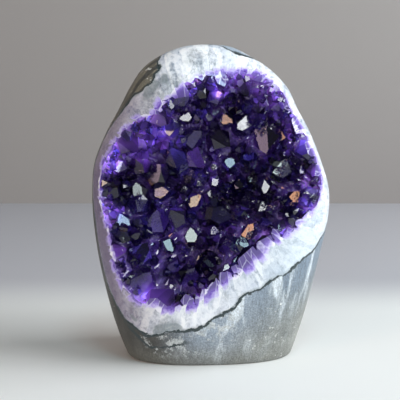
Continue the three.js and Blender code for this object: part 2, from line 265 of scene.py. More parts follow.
def mesh_of(name, corners, faces):
    """An object of a mesh made of corners in mm and of triangles, turned inside out if its volume,
    the sum of the triangles' wedges to the origin, comes out negative."""
    a, b, c = (corners[faces[:, k]] for k in range(3))
    if np.einsum("ij,ij->", a, np.cross(b, c)) < 0:
        faces = faces[:, ::-1]
    mesh = bpy.data.meshes.new(name)
    mesh.from_pydata((corners * MM).tolist(), [], faces.tolist())
    return placed(name, mesh)


def closed_skin(name, rows):
    """A closed mesh from a grid of points in mm, whose rows run round the shape. All the points of
    the first row are one, and so are those of the last: the two poles."""
    count, sides = rows.shape[:2]
    corners = np.concatenate([rows[:1, 0], rows[1:-1].reshape(-1, 3), rows[-1:, 0]])
    ring = 1 + np.arange((count - 2) * sides).reshape(count - 2, sides)
    after = np.roll(ring, -1, axis=1)
    quads = np.stack([ring[:-1], after[:-1], after[1:], ring[1:]], axis=-1).reshape(-1, 4)
    last = len(corners) - 1
    halves = np.concatenate([quads[:, [0, 1, 2]], quads[:, [0, 2, 3]]])
    first_fan = np.stack([np.zeros(sides, int), after[0], ring[0]], axis=-1)
    last_fan = np.stack([np.full(sides, last), ring[-1], after[-1]], axis=-1)
    return mesh_of(name, corners, np.concatenate([first_fan, halves, last_fan]))


def join(piece, other, operation):
    """Joins, cuts or intersects a piece with another closed solid, for good, and removes that."""
    step = piece.modifiers.new("joined", "BOOLEAN")
    step.operation = operation
    step.solver = "MANIFOLD"
    step.object = other
    made = bpy.data.meshes.new_from_object(piece.evaluated_get(bpy.context.evaluated_depsgraph_get()))
    made.name = piece.name
    piece.modifiers.clear()
    piece.data = made
    bpy.data.objects.remove(other)


def whole_stone(name):
    """The ground outside as a closed skin: rings up the underside, round its edge and up the side,
    then stretched a little until it fills the frame's box."""
    under_rings, edge_rings, side_rings = OUTSIDE_RINGS
    rounded = FOOT_EDGE / LEVELS[1, 0]  # the level at which the rounding ends
    under = np.linspace(0, FLAT_SHARE, under_rings)
    edge = np.linspace(0, np.pi / 2, edge_rings)[1:]
    up = np.linspace(rounded, len(LEVELS) - 1, side_rings)[1:]
    inset = np.concatenate([under, FLAT_SHARE + (1 - FLAT_SHARE) * np.sin(edge), np.ones(len(up))])
    level = np.concatenate([0 * under, rounded * (1 - np.cos(edge)), up])
    angle = np.linspace(0, 2 * np.pi, OUTSIDE_SIDES, endpoint=False)
    rows = ground_outside(*np.broadcast_arrays(level[:, None], angle[None, :], inset[:, None]))
    low, high = (np.array(corner) / MM for corner in cad_box)
    least, most = rows.min(axis=(0, 1)), rows.max(axis=(0, 1))
    return closed_skin(name, low + (rows - least) * (high - low) / (most - least))


def bowl_points(surface, reach, grid):
    """Points of a bowl's surface, out to the reach, on a grid of rings and of points in each. The
    points of the first ring are one."""
    rings, sides = grid
    share = np.linspace(0, reach, rings)
    angle = np.linspace(0, 2 * np.pi, sides, endpoint=False)
    points = surface(*np.broadcast_arrays(share[:, None], angle[None, :]))
    points[0] = points[0].mean(axis=0)
    return points


def in_front(name, surface, grid):
    """Everything in front of a bowl: its surface out to the reach, then straight to the front."""
    back = bowl_points(surface, BOWL_REACH, grid)
    front = np.stack([back[-1], back[-1].mean(axis=0) + 0 * back[-1]])
    front[:, :, 1] = FRONT_PLANE
    return closed_skin(name, np.concatenate([back, front]))


def seam_stray(place):
    """How far the seam strays to the front at a place, in mm: a slow irregular wave, a quicker one
    folded up into ridges, and a fine one."""
    slow = wave(place, 13, 1)
    ridges = np.abs(wave(place, 6, 2))
    return SEAM_WANDER * (slow + 0.8 * ridges + 0.3 * wave(place, 2.6, 5) - 0.3)


def seam_surface(share, angle):
    """The seam: its bowl, moved along its facing by how far it strays."""
    place = bowl(SEAM_BOWL, share, angle)
    return place + seam_stray(place)[..., None] * facing(SEAM_BOWL, share, angle)


def write_values(piece, name, values, domain="POINT"):
    """Gives every corner or face of a piece a number of its own for the materials to read."""
    store = piece.data.attributes.new(name, "FLOAT", domain)
    store.data.foreach_set("value", values.astype(np.float32))


def vectors(items, name):
    """The vector of that name of every corner or face, as rows."""
    flat = np.empty(3 * len(items), np.float32)
    items.foreach_get(name, flat)
    return flat.reshape(-1, 3).astype(float)


def mark_growth(piece):
    """Writes how far each corner lies in front of the seam and in front of the mouth's bowl, and a
    grain that winds round the middle: the cosine and sine of the direction there, and that first
    distance, a third as long, so that a pattern on it runs square to the seam."""
    place = vectors(piece.data.vertices, "co") / MM
    seam = before(SEAM_BOWL, place) - seam_stray(place)
    write_values(piece, "seam", seam)
    write_values(piece, "mouth", before(HOLLOW, place))
    angle, _ = seen_from_front(SEAM, place)
    across = GRAIN_REACH * np.stack([np.cos(angle), np.sin(angle)], axis=-1)
    grain = np.concatenate([across, GRAIN_ALONG * seam[:, None]], axis=1)
    store = piece.data.attributes.new("grain", "FLOAT_VECTOR", "POINT")
    store.data.foreach_set("vector", grain.astype(np.float32).ravel())


def polish(piece, material):
    """Smooth shading over all but the sharp edges, and the piece's material."""
    piece.data.shade_smooth()
    piece.data.set_sharp_from_angle(angle=SHARP_EDGE)
    piece.data.materials.clear()
    piece.data.materials.append(material)


def new_material(name):
    """A new material: itself, its node tree, its shader, and the place that its patterns read."""
    material = bpy.data.materials.new(name)
    material.use_nodes = True
    tree = material.node_tree
    where = tree.nodes.new("ShaderNodeTexCoord").outputs["Object"]
    return material, tree, tree.nodes["Principled BSDF"], where


def fill(node, given):
    """Fills a node's inputs: a socket is linked, and any other value is set."""
    for key, value in given.items():
        if isinstance(value, bpy.types.NodeSocket):
            node.id_data.links.new(value, node.inputs[key])
        else:
            node.inputs[key].default_value = value


def made_by(kind, output, given, **settings):
    """What a new node of that kind makes of the inputs given, in the tree of the first socket
    among them."""
    tree = next(value.id_data for value in given.values() if isinstance(value, bpy.types.NodeSocket))
    node = tree.nodes.new(kind)
    for key, value in settings.items():
        setattr(node, key, value)
    fill(node, given)
    return node.outputs[output]


def noise(where, scale, detail=4.0, roughness=0.55):
    """Cloudy noise from 0 to 1."""
    given = {"Vector": where, "Scale": scale, "Detail": detail, "Roughness": roughness}
    return made_by("ShaderNodeTexNoise", "Fac", given)


def noise_color(where, scale):
    """Cloudy noise of three kinds at once, as a colour."""
    return made_by("ShaderNodeTexNoise", "Color", {"Vector": where, "Scale": scale})


def stretched(where, scale, turn=0):
    """A place scaled by x, y and z, and then turned about Y by so many degrees."""
    given = {"Vector": where, "Scale": scale, "Rotation": (0, np.radians(turn), 0)}
    return made_by("ShaderNodeMapping", "Vector", given)


def ramp(value, stops):
    """A colour for each value, between the stops given as position and colour."""
    color = made_by("ShaderNodeValToRGB", "Color", {"Fac": value})
    band = color.node.color_ramp.elements
    while len(band) < len(stops):
        band.new(0.5)
    for element, (position, shade) in zip(band, stops):
        element.position = position
        element.color = (*shade, 1)
    return color


def between(value, low, high):
    """0 below low, 1 above high, and smooth between; high may be the lower of the two."""
    given = {"Value": value, "From Min": min(low, high), "From Max": max(low, high)}
    given |= {"To Min": float(low > high), "To Max": float(low < high)}
    return made_by("ShaderNodeMapRange", "Result", given, interpolation_type="SMOOTHSTEP")


def reckon(operation, one, other=0.0):
    """One number out of two, or out of one alone."""
    return made_by("ShaderNodeMath", "Value", {0: one, 1: other}, operation=operation)


def times(one, other):
    """The product of two numbers."""
    return reckon("MULTIPLY", one, other)


def plus(one, other):
    """The sum of two numbers."""
    return reckon("ADD", one, other)


def blend(share, one, other, kind="MIX"):
    """Goes from one colour to the other by the share. Each is a socket or three numbers."""
    one, other = ((*color, 1) if isinstance(color, tuple) else color for color in (one, other))
    given = {0: share, 6: one, 7: other}
    return made_by("ShaderNodeMix", 2, given, data_type="RGBA", blend_type=kind)


def over(color, other, share, strength):
    """Another colour laid over a colour, as thickly as the share times the strength says."""
    return blend(times(share, strength), color, other)


def tinted(color, value, stops):
    """A colour multiplied by the colour that a ramp has for the value."""
    return blend(1.0, color, ramp(value, stops), "MULTIPLY")


def read(tree, name, output="Fac"):
    """What was written on the piece's corners or faces under that name."""
    node = tree.nodes.new("ShaderNodeAttribute")
    node.attribute_name = name
    return node.outputs[output]


def axes_of(where):
    """The x, y and z of a place."""
    return made_by("ShaderNodeSeparateXYZ", "X", {"Vector": where}).node.outputs


def relief(shader, height, distance):
    """Fine relief on the shader, from a height of 0 to 1 that stands for a distance in metres."""
    given = {"Height": height, "Distance": distance, "Strength": 1.0}
    fill(shader, {"Normal": made_by("ShaderNodeBump", "Normal", given)})


def near_to(where, spots):
    """1 at the spots, 0 beyond them: each is a place in mm and how far it reaches."""
    found = 0.0
    for x, y, z, reach in spots:
        given = {0: where, 1: (x * MM, y * MM, z * MM)}
        apart = made_by("ShaderNodeVectorMath", "Value", given, operation="DISTANCE")
        found = reckon("MAXIMUM", found, between(apart, reach * MM, reach * MM / 2))
    return found


def within(where, area):
    """1 in an area of the front, 0 outside it: the product of a smooth step across and one up."""
    x, _, z = axes_of(where)
    across, up = (np.array(limits) * MM for limits in area)
    return times(between(x, *across), between(z, *up))


# areas of the front: across and then upwards, in mm, where each starts and where it is full
BOLD_SEAM = ((-15, 5), (115, 130))
BRANCH = ((-6, -16), (40, 34))
LEANING_STREAKS = ((-12, -20), (98, 106))


def seam_line(tree, where):
    """The dark line along the seam, 1 to 2 mm wide with frayed edges and bolder at the upper right,
    and at the lower left a second one that leaves it and runs below: 1 on them, 0 off them."""
    x, _, _ = axes_of(where)
    frayed = times(reckon("SUBTRACT", noise(where, 300, 5, 0.75), 0.5), 4.0)
    away = plus(read(tree, "seam"), frayed)
    width = reckon("SUBTRACT", noise(where, 90, 2), 0.22)
    bolder = plus(times(within(where, BOLD_SEAM), 2.2), 2.8)
    width = times(reckon("MAXIMUM", width, 0.1), bolder)
    off_line = reckon("DIVIDE", reckon("ABSOLUTE", away), width)
    below = plus(away, times(between(x, -0.05, -0.02), 6.5))
    off_branch = reckon("DIVIDE", reckon("ABSOLUTE", below), width)
    branch = times(between(off_branch, 0.9, 0.5), within(where, BRANCH))
    return reckon("MAXIMUM", between(off_line, 1.0, 0.6), branch)


# places where white mineral crusts the basalt: x, y, z and reach, in mm
MINERAL_SPOTS = [(-24, -30, 12, 11), (-12, -33, 9, 10), (5, -36, 21, 10), (-4, -35, 13, 8)]


def ground_basalt():
    """Grey basalt, ground smooth: cloudy greys with fine grains, pale specks and upright grinding
    marks, bluer and paler below the seam, where white mineral hangs down in streaks, with leaning
    streaks at the upper left, browner at the foot, and painted shade that darkens it to the left."""
    material, tree, shader, where = new_material("ground_basalt")
    x, _, z = axes_of(where)
    seam = read(tree, "seam")
    cloud = noise(where, 60, 6)
    color = ramp(cloud, [(0.3, (0.17, 0.17, 0.145)), (0.7, (0.36, 0.36, 0.33))])
    near_seam = between(plus(seam, times(cloud, -8.0)), -34, -4)
    bluish = blend(between(x, 0.012, 0.032), (0.33, 0.40, 0.50), (0.17, 0.23, 0.31))
    color = over(color, bluish, near_seam, 0.85)
    upright = noise(stretched(where, (1, 1, 0.13)), 150, 4, 0.5)
    streaks = times(between(upright, 0.5, 0.62), between(seam, -26, -5))
    color = over(color, (0.74, 0.80, 0.86), streaks, 0.85)
    # painted shade: the basalt darkened towards the left, away from the light
    color = over(color, (0.045, 0.040, 0.031), between(x, 0.0, -0.029), 0.95)
    leaning = stretched(stretched(where, (1, 1, 1), -36), (1, 1, 0.1))
    streaks = between(noise(leaning, 420, 4, 0.6), 0.46, 0.6)
    streaks = times(streaks, within(where, LEANING_STREAKS))
    color = over(color, (0.24, 0.22, 0.17), streaks, 0.75)
    foot = between(plus(z, times(cloud, 0.012)), 0.019, 0.006)
    color = over(color, (0.19, 0.19, 0.17), foot, 0.6)
    specks = between(noise(where, 420, 3, 0.6), 0.63, 0.7)
    specks = times(specks, between(noise(where, 45, 2), 0.5, 0.62))
    color = blend(specks, color, (0.72, 0.72, 0.70))
    crusted = between(noise(where, 190, 5, 0.7), 0.5, 0.56)
    crusted = times(crusted, near_to(where, MINERAL_SPOTS))
    color = over(color, (0.60, 0.63, 0.64), crusted, 0.8)
    grains = noise(where, 1500, 2, 0.7)
    color = tinted(color, grains, [(0.3, (0.6,) * 3), (0.7, (1.3,) * 3)])
    marks = noise(stretched(where, (1, 1, 0.05)), 1100, 3, 0.6)
    color = tinted(color, marks, [(0.3, (0.78,) * 3), (0.7, (1.15,) * 3)])
    color = blend(seam_line(tree, where), color, (0.03, 0.045, 0.05))
    fill(shader, {"Base Color": color, "Roughness": between(grains, -1.2, 2.4)})
    relief(shader, plus(times(grains, 0.6), marks), 0.00012)
    return material


basalt = whole_stone("basalt_piece")
join(basalt, in_front("seam", seam_surface, SEAM_GRID), "DIFFERENCE")
mark_growth(basalt)
polish(basalt, ground_basalt())
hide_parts("basalt_matrix")
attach(basalt, "root")

# The quartz band. White to grey quartz grew on the basalt as columns that stand square to the
# seam, 9 to 15 mm long, and were ground to the same outside. Its inner side backs the crystals.
LAYER_GAP = 0.04  # left between two layers, in mm
HOLLOW_GRID = (60, 360)


def hollow_surface(share, angle):
    """The quartz's inner side: the hollow's bowl, raised along its facing by an irregular wave and
    ridges, the ends of its columns, and pushed outwards at the rim in teeth, another wave folded
    up, which grow as the sixth power of the share."""
    place = bowl(HOLLOW, share, angle)
    ends = 0.9 * wave(place, 6, 3) + 1.1 * np.abs(wave(place, 3.2, 4)) - 0.3
    teeth = np.minimum(share, 1) ** 6 * (1.8 * np.abs(wave(place * [1, 0.3, 1], 7, 7)) - 0.6)
    outward = np.stack([np.cos(angle), 0 * angle, np.sin(angle)], axis=-1)
    return place + ends[..., None] * facing(HOLLOW, share, angle) + teeth[..., None] * outward


def raised(surface, lift):
    """A surface moved towards the front by lift, in mm."""
    return lambda share, angle: surface(share, angle) + [0, -lift, 0]


def cells(where, scale, output, feature="F1"):
    """Cells of chance shapes: a colour by chance for each, or the distance to the nearest edge."""
    given = {"Vector": where, "Scale": scale}
    return made_by("ShaderNodeTexVoronoi", output, given, feature=feature)


def cell_lines(where, scale, width, full=0.0):
    """Lines along the edges of such cells: 1 up to full from an edge, 0 beyond the width."""
    return between(cells(where, scale, "Distance", "DISTANCE_TO_EDGE"), width, full)


def bent_grain(tree, where):
    """The grain that mark_growth wrote, bent a little by cloudy noise."""
    return blend(1.0, read(tree, "grain", "Vector"), noise_color(where, 330), "ADD")


def strayed(where, scale, reach):
    """A place moved along each axis by cloudy noise: by 0 to reach, in mm, half of it on average."""
    stray = stretched(noise_color(where, scale), (reach * MM,) * 3)
    return blend(1.0, where, stray, "ADD")


def ragged_near_to(where, spots):
    """Like near_to, with ragged edges: places stray, and the spots move along by the average."""
    reach = 10
    moved = [(x + reach / 2, y + reach / 2, z + reach / 2, wide) for x, y, z, wide in spots]
    return near_to(strayed(where, 130, reach), moved)


def violet_ends(tree, where, color):
    """Turns violet what lies towards the hollow: each grown-together crystal from its own depth on,
    first lilac, then violet and at last deep, with a pale line between it and the next."""
    bent = bent_grain(tree, where)
    scale = 0.21
    column = times(cells(bent, scale, "Color"), 6.5)
    mottle = times(noise(where, 420, 5, 0.65), 6.0)
    depth = plus(read(tree, "mouth"), plus(column, mottle))
    color = blend(between(depth, 4.6, 7.2), color, (0.47, 0.38, 0.82))
    color = blend(between(depth, 6.3, 8.4), color, (0.17, 0.09, 0.50))
    color = blend(between(depth, 7.6, 10.8), color, (0.06, 0.025, 0.22))
    line = times(cell_lines(bent, scale, 0.05), between(depth, 4.0, 6.0))
    return over(color, (0.70, 0.67, 0.92), line, 0.55)


# areas of painted shade and light on the band: across and then upwards, in mm, where each starts
# and where it is full
# painted shade, low on the far left
PAINTED_SHADE_LEFT_LOW = ((-38, -50), (110, 85))
# painted light, low in the middle
PAINTED_LIGHT_MIDDLE_LOW = ((-30, -8), (50, 20))
# painted shade, low on the right
PAINTED_SHADE_RIGHT_LOW = ((5, 40), (85, 50))
# places where the band is clear and grey, not white: x, y, z and reach, in mm
CLEAR_SPOTS = [
    (-7, -12, 141, 7),
    (-21, -22, 129, 10),
    (-27, -26, 121, 11),
    (-20, -33, 19, 9),
    (-36, -28, 26, 7),
]


def cloudy_quartz():
    """White quartz, ground and glossy: grown-together crystals square to the seam, each white, clear
    grey or between, with fine white cracks and grey scribbles, and violet at the ends towards the
    hollow, to a different depth on each. Painted shade makes it a dull violet to the left and greyer
    low on the right, and painted light makes it palest low in the middle. It is stained along the
    seam. Light sinks in a little."""
    material, tree, shader, where = new_material("cloudy_quartz")
    x, _, _ = axes_of(where)
    bent = bent_grain(tree, where)
    feather = noise(bent, 0.5, 6, 0.7)
    mottle = noise(where, 420, 5, 0.65)
    mix = plus(times(cells(bent, 0.3, "Color"), 0.2), times(feather, 0.4))
    mix = plus(mix, times(mottle, 0.47))
    mix = plus(mix, times(cells(where, 620, "Color"), 0.1))
    color = ramp(mix, [
        (0.44, (0.33, 0.37, 0.44)),
        (0.55, (0.70, 0.73, 0.80)),
        (0.66, (0.90, 0.91, 0.94)),
    ])
    clear = ragged_near_to(where, CLEAR_SPOTS)
    glassy = ramp(mottle, [(0.4, (0.13, 0.15, 0.18)), (0.6, (0.52, 0.56, 0.62))])
    color = over(color, glassy, clear, 0.65)
    block = cells(bent, 0.16, "Color")
    color = tinted(color, block, [(0.2, (0.72, 0.76, 0.82)), (0.6, (1.0, 1.0, 1.0))])
    color = over(color, (0.93, 0.94, 0.97), cell_lines(bent, 0.42, 0.045), 0.45)
    scribble = cell_lines(strayed(where, 240, 7), 210, 0.05, 0.015)
    scribble = times(scribble, between(noise(where, 75, 2), 0.5, 0.6))
    color = over(color, (0.30, 0.34, 0.38), scribble, 0.5)
    # painted shade: the band darkened towards the left, away from the light, and more so low on the far
    # left
    color = over(color, (0.19, 0.14, 0.22), between(x, -0.016, -0.048), 0.8)
    color = over(color, (0.08, 0.05, 0.14), within(where, PAINTED_SHADE_LEFT_LOW), 0.6)
    # painted light: the band made paler and bluer low in the middle
    color = over(color, (0.90, 0.92, 1.0), within(where, PAINTED_LIGHT_MIDDLE_LOW), 0.4)
    stained = reckon("SUBTRACT", read(tree, "seam"), times(clear, 4.0))
    stained = reckon("SUBTRACT", stained, times(mottle, 2.0))
    color = over(color, (0.16, 0.20, 0.21), between(stained, 0.8, -0.8), 0.6)
    # painted shade: the band made greyer and bluer low on the right
    color = over(color, (0.50, 0.58, 0.66), within(where, PAINTED_SHADE_RIGHT_LOW), 0.62)
    color = violet_ends(tree, where, color)
    color = blend(seam_line(tree, where), color, (0.035, 0.05, 0.055))
    fill(shader, {
        "Base Color": color,
        "Roughness": 0.2,
        "Subsurface Weight": 0.25,
        "Subsurface Radius": (1.0, 0.9, 1.0),
        "Subsurface Scale": 0.0012,
    })
    relief(shader, plus(noise(where, 900, 4, 0.7), feather), 0.0002)
    return material


quartz = whole_stone("quartz_piece")
join(quartz, in_front("seam", raised(seam_surface, LAYER_GAP), SEAM_GRID), "INTERSECT")
join(quartz, in_front("hollow", hollow_surface, HOLLOW_GRID), "DIFFERENCE")
mark_growth(quartz)
polish(quartz, cloudy_quartz())
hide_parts("quartz_band")
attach(quartz, "root")

# The amethyst crust. Six-sided prisms with three broad tip faces, grown together over the quartz
# as one crust. They start milky and turn deep violet towards the tips.
TIP_SLOPE = 1.27  # rise over run of a tip face, quartz's own 51.8 degrees
BROAD_FACE = -0.3  # height of the broadest face of a large crystal's tip against a plain tip
OTHER_FACES = 0.1  # and of the two others
UNEVEN_FACES = (-0.25, 0.25)  # the same for the faces of every other crystal
SMALL_FACES = 0.5  # share of the tip edges that a small face cuts off
SMALL_FACE_CUT = (0.15, 0.6)  # how far down the edge from the tip such a face starts
AROUND = 12  # points in a row round a crystal
CRYSTAL_POINTS = 3 * AROUND + 2  # three such rows, the tip and the middle of the bottom
PARTS = 16  # numbers kept for the faces of one crystal
CRUST = 1.6  # thickness of the crust that joins the crystals, in mm
ROOT = 2.4  # how deep a crystal starts in that crust, in mm
LINING_REACH = 1.25  # how far the crust runs on past the mouth before it is cut, times its distance
LINING_GRID = (40, 240)
LARGE_COUNTS = 500  # where the large crystals' own counts start
LARGE_LENGTH = 0.5  # length of the sides, times the radius
LARGE_RISE = (3, 0.65)  # how far the face stands off the floor: in mm, and times the radius
LARGE_TIP = 0.8  # how far the tip lies from the middle of that face, times the radius
GOLDEN_ANGLE = np.pi * (3 - np.sqrt(5))
OVERLAP = 0.42  # how near a large one's outline another's middle may come, times its radius
FARTHEST = 1.04  # how far out the outermost stand, 1 being the mouth
SHARE_STRAY = (-0.0175, 0.0175)  # strays from the sunflower's order, outwards and round
ANGLE_STRAY = (-0.08, 0.08)
LEAN_OUT = 0.8  # pull of the floor's own direction on a crystal
LEAN_ASIDE = (-0.5, 0.5)  # and by chance to every side
LEAN_FRONT = (0.35, 0.65)  # and to the front
CLEARANCE = (0.5, 2)  # how far behind the ground outside a tip ends, in mm
BELLY = -38  # y where the ground outside comes furthest forward
GROUND_SIDE = np.radians(-60)  # towards here the crystals were ground off flush
GROUND_SPREAD = np.arccos(0.75)  # this far to both sides of it
GROUND_SINK = 0.3  # share of the clearance that is kept there
# the strewn crystals: how many places, where their counts start, radius in mm, length of the sides
# times the radius, share of a large one's radius kept clear, how high above the floor they may
# start in mm, and how far out they begin
STREWN = [
    (140, 0, (3.8, 5.6), (0.1, 0.6), 1, 0, 0),  # stout ones all over, which the solids have too
    (560, 1000, (1.6, 3.8), (0.2, 1.0), 0.85, 2.6, 0),  # smaller ones between them
    (460, 2000, (1.0, 2.0), (0.3, 1.1), 0.7, 1.2, 0.78),  # fine ones towards the mouth
    (170, 3000, (1.7, 3.3), (0.6, 1.5), 0.6, 3.2, 0.88),  # longer ones along its edge
]
SOWING_GAP = 0.05  # room left between the round bounds of two crystals of one sowing, in mm
# ways that a broad tip face can look: degrees to the right of straight ahead, degrees upwards
LOOKS = {
    "right": (28, 21),
    "up": (7, 34),
    "left": (-22, 12),
    "front": (-10, 6),
    "low": (4, -14),
    "side": (-34, 3),
    "dim": (8, 12),
}
# the large crystals: x and z of the middle of the face that shows, radius, where that face looks,
# and which way its point lies, in degrees from +X towards +Z
LARGE = [
    (-9.5, 60, 3.9, "front", 95),
    (17.5, 63, 4.3, "left", 60),
    (15, 111.5, 5.7, "right", 215),
    (7.5, 113.5, 3.8, "left", 330),
    (2, 125, 4.1, "left", 10),
    (15.5, 127, 3.8, "front", 300),
    (5, 132, 3.8, "up", 280),
    (33, 92, 5.1, "front", 60),
    (32, 106, 3.4, "left", 340),
    (24, 103.5, 7.2, "side", 290),
    (38.5, 78, 4.4, "left", 50),
    (23.5, 72.5, 3.4, "right", 230),
    (15, 57, 3.8, "up", 330),
    (6.5, 46, 4.1, "front", 80),
    (12, 49, 3.3, "up", 250),
    (-42.5, 93.5, 3.8, "front", 60),
    (-34.5, 81, 4.6, "front", 100),
    (-23, 80, 4.1, "left", 0),
    (-26.5, 89.5, 6.4, "side", 40),
    (-7.5, 76.5, 4.3, "left", 30),
    (-40.5, 67.5, 4.6, "up", 320),
    (-12.5, 115, 3.6, "right", 210),
    (8.5, 93, 3.3, "up", 260),
    (19, 86.5, 3.3, "up", 240),
    (2, 84.5, 3.3, "right", 220),
    (-19.5, 110, 4.8, "left", 280),
    (25.5, 82, 4.1, "right", 240),
    (-1, 47.5, 6.4, "low", 100),
    (-9.5, 42, 6, "low", 70),
    (-19.5, 54.5, 3.8, "up", 290),
    (47.5, 90, 3.9, "up", 250),
    (46.5, 80, 3.9, "front", 30),
    (8, 55.5, 5.6, "low", 110),
    (-42.5, 54, 5.2, "dim", 20),
    (-31, 40, 7.4, "low", 60),
    (-21, 33.5, 7.6, "dim", 50),
    (-25.5, 67, 6.4, "low", 90),
    (-6, 95, 6, "dim", 300),
    (5.5, 104, 5.4, "dim", 320),
    (31, 65, 4.4, "up", 230),
    (25, 57.5, 5.4, "low", 70),
    (18, 51, 7, "low", 85),
    (41, 111, 5, "dim", 240),
    (43, 100, 5, "dim", 200),
    (-14, 125.5, 5.6, "low", 80),
    (-37, 103, 6, "dim", 320),
    (-32, 53, 5.8, "dim", 60),
    (-7.5, 105.5, 5.4, "low", 50),
    (-17, 68, 5.4, "low", 120),
    (5.5, 69, 5.6, "dim", 350),
    (-16.5, 97, 5.6, "dim", 120),
]


def chance(n, k):
    """A number from 0 to 1 that is always the same for the same counts: the fraction of a large
    multiple of a sine."""
    s = np.sin(n * 12.9898 + k * 78.233) * 43758.5453
    return s - np.floor(s)


def draw(limits, n, k):
    """A number between two limits, by that chance."""
    return limits[0] + (limits[1] - limits[0]) * chance(n, k)


def unit(v):
    """Vectors of length 1 in the directions given."""
    return v / np.linalg.norm(v, axis=-1, keepdims=True)


def crystal_rows(count, radius, length, broad):
    """Crystals along +Z from their roots, as rows of 12 points round each, from tip to bottom, and
    their tips. The tip faces are three planes of one slope; a side's corners lie at even points,
    and at odd points the outline lies halfway between two corners, where two tip faces may meet."""
    face = np.radians(30 + 120 * np.arange(3))
    toward = np.stack([np.cos(face), np.sin(face)], axis=-1)
    planned = [BROAD_FACE, OTHER_FACES, OTHER_FACES]
    uneven = np.where(broad[:, None], planned, draw(UNEVEN_FACES, count[:, None], 11 + np.arange(3)))
    height = length[:, None] + radius[:, None] * (TIP_SLOPE * np.cos(np.pi / 6) + uneven)
    off_axis = 2 * height / (3 * TIP_SLOPE) @ toward
    tip = np.concatenate([off_axis, height.mean(axis=1, keepdims=True)], axis=1)

    turn = np.radians(30 * np.arange(AROUND))
    out = np.where(np.arange(AROUND) % 2 == 0, 1, np.cos(np.pi / 6))
    ring = radius[:, None, None] * (out * np.stack([np.cos(turn), np.sin(turn)])).T
    planes = height[:, None, :] - TIP_SLOPE * np.einsum("nkc,jc->nkj", ring, toward)
    outline = np.concatenate([ring, planes.min(axis=2)[:, :, None]], axis=2)

    cut = radius[:, None] * draw(SMALL_FACE_CUT, count[:, None], 21 + np.arange(3))
    where_met = face + np.pi / 3
    edge = np.stack([np.cos(where_met), np.sin(where_met), 0 * face - TIP_SLOPE / 2], axis=-1)
    on_edge = tip[:, None] + cut[:, :, None] * edge
    small = chance(count[:, None], 31 + np.arange(3)) < SMALL_FACES
    middle = (tip[:, None] + outline) / 2
    for j in range(3):
        odd = 3 + 4 * j
        straight = (outline[:, odd - 1] + outline[:, (odd + 1) % AROUND]) / 2
        outline[:, odd] = np.where(small[:, j, None], straight, outline[:, odd])
        middle[:, odd] = on_edge[:, j]
    bottom = outline * [1, 1, 0] - [0, 0, ROOT]
    rows = np.stack([tip[:, None] + 0 * outline, middle, outline, bottom, bottom * [0, 0, 1]], axis=1)
    return rows, tip


def crystal_mesh(name, rows, numbers):
    """Closed crystals from their rows of points: a fan at the tip, a band of faces between two
    rows, split along the lines where tip faces meet, and a fan at the bottom. Every face gets its
    crystal's number and its own part: broad tip faces 0 to 2, small ones 3 to 5, sides 6 to 11,
    bottom 12."""
    n = len(rows)
    rings = rows[:, 1:4].reshape(n, 3 * AROUND, 3)
    corners = np.concatenate([rows[:, 0, :1], rings, rows[:, 4, :1]], axis=1)
    k = np.arange(AROUND)
    after = (k + 1) % AROUND
    even = (k % 2 == 0)[:, None]
    faces = [np.stack([0 * k, 1 + k, 1 + after], axis=-1)]
    for first in (1, 1 + AROUND):
        top, top_after = first + k, first + after
        low, low_after = top + AROUND, top_after + AROUND
        one = np.where(even, np.stack([top, low, top_after], -1), np.stack([top, low, low_after], -1))
        two = [np.stack([top_after, low, low_after], -1), np.stack([top, low_after, top_after], -1)]
        faces += [one, np.where(even, *two)]
    last = 1 + 2 * AROUND
    faces.append(np.stack([0 * k + CRYSTAL_POINTS - 1, last + after, last + k], axis=-1))
    every = np.concatenate(faces)[None] + CRYSTAL_POINTS * np.arange(n)[:, None, None]
    broad, side = (k + 1) // 4 % 3, 6 + k // 2
    one = np.where(k % 4 == 3, 3 + (k - 3) // 4, broad)
    two = np.where(k % 4 == 2, 3 + (k - 2) // 4, broad)
    part = np.concatenate([broad, one, two, side, side, 12 + 0 * k])
    piece = mesh_of(name, corners.reshape(-1, 3), every.reshape(-1, 3))
    mark = piece.data.attributes.new("crystal", "INT", "FACE")
    mark.data.foreach_set("value", (PARTS * (numbers[:, None] + 1) + part).ravel().astype(np.int32))
    return piece


def stand(rows, axis, spin):
    """Crystals turned from +Z to their axes by the shortest turn, after a spin about themselves."""
    ax, ay, az = axis.T
    lean = np.stack([
        np.stack([1 - ax * ax / (1 + az), -ax * ay / (1 + az), ax], -1),
        np.stack([-ax * ay / (1 + az), 1 - ay * ay / (1 + az), ay], -1),
        np.stack([-ax, -ay, az], -1),
    ], axis=1)
    c, s, o, i = np.cos(spin), np.sin(spin), 0 * spin, 0 * spin + 1
    twirl = np.stack([np.stack([c, -s, o], -1), np.stack([s, c, o], -1), np.stack([o, o, i], -1)], axis=1)
    return np.einsum("nij,nrkj->nrki", lean @ twirl, rows)


def way_to(aside, upwards):
    """The direction that many radians to the right of straight ahead, and upwards."""
    level = np.cos(upwards)
    return np.stack([np.sin(aside) * level, -np.cos(aside) * level, np.sin(upwards)], axis=-1)


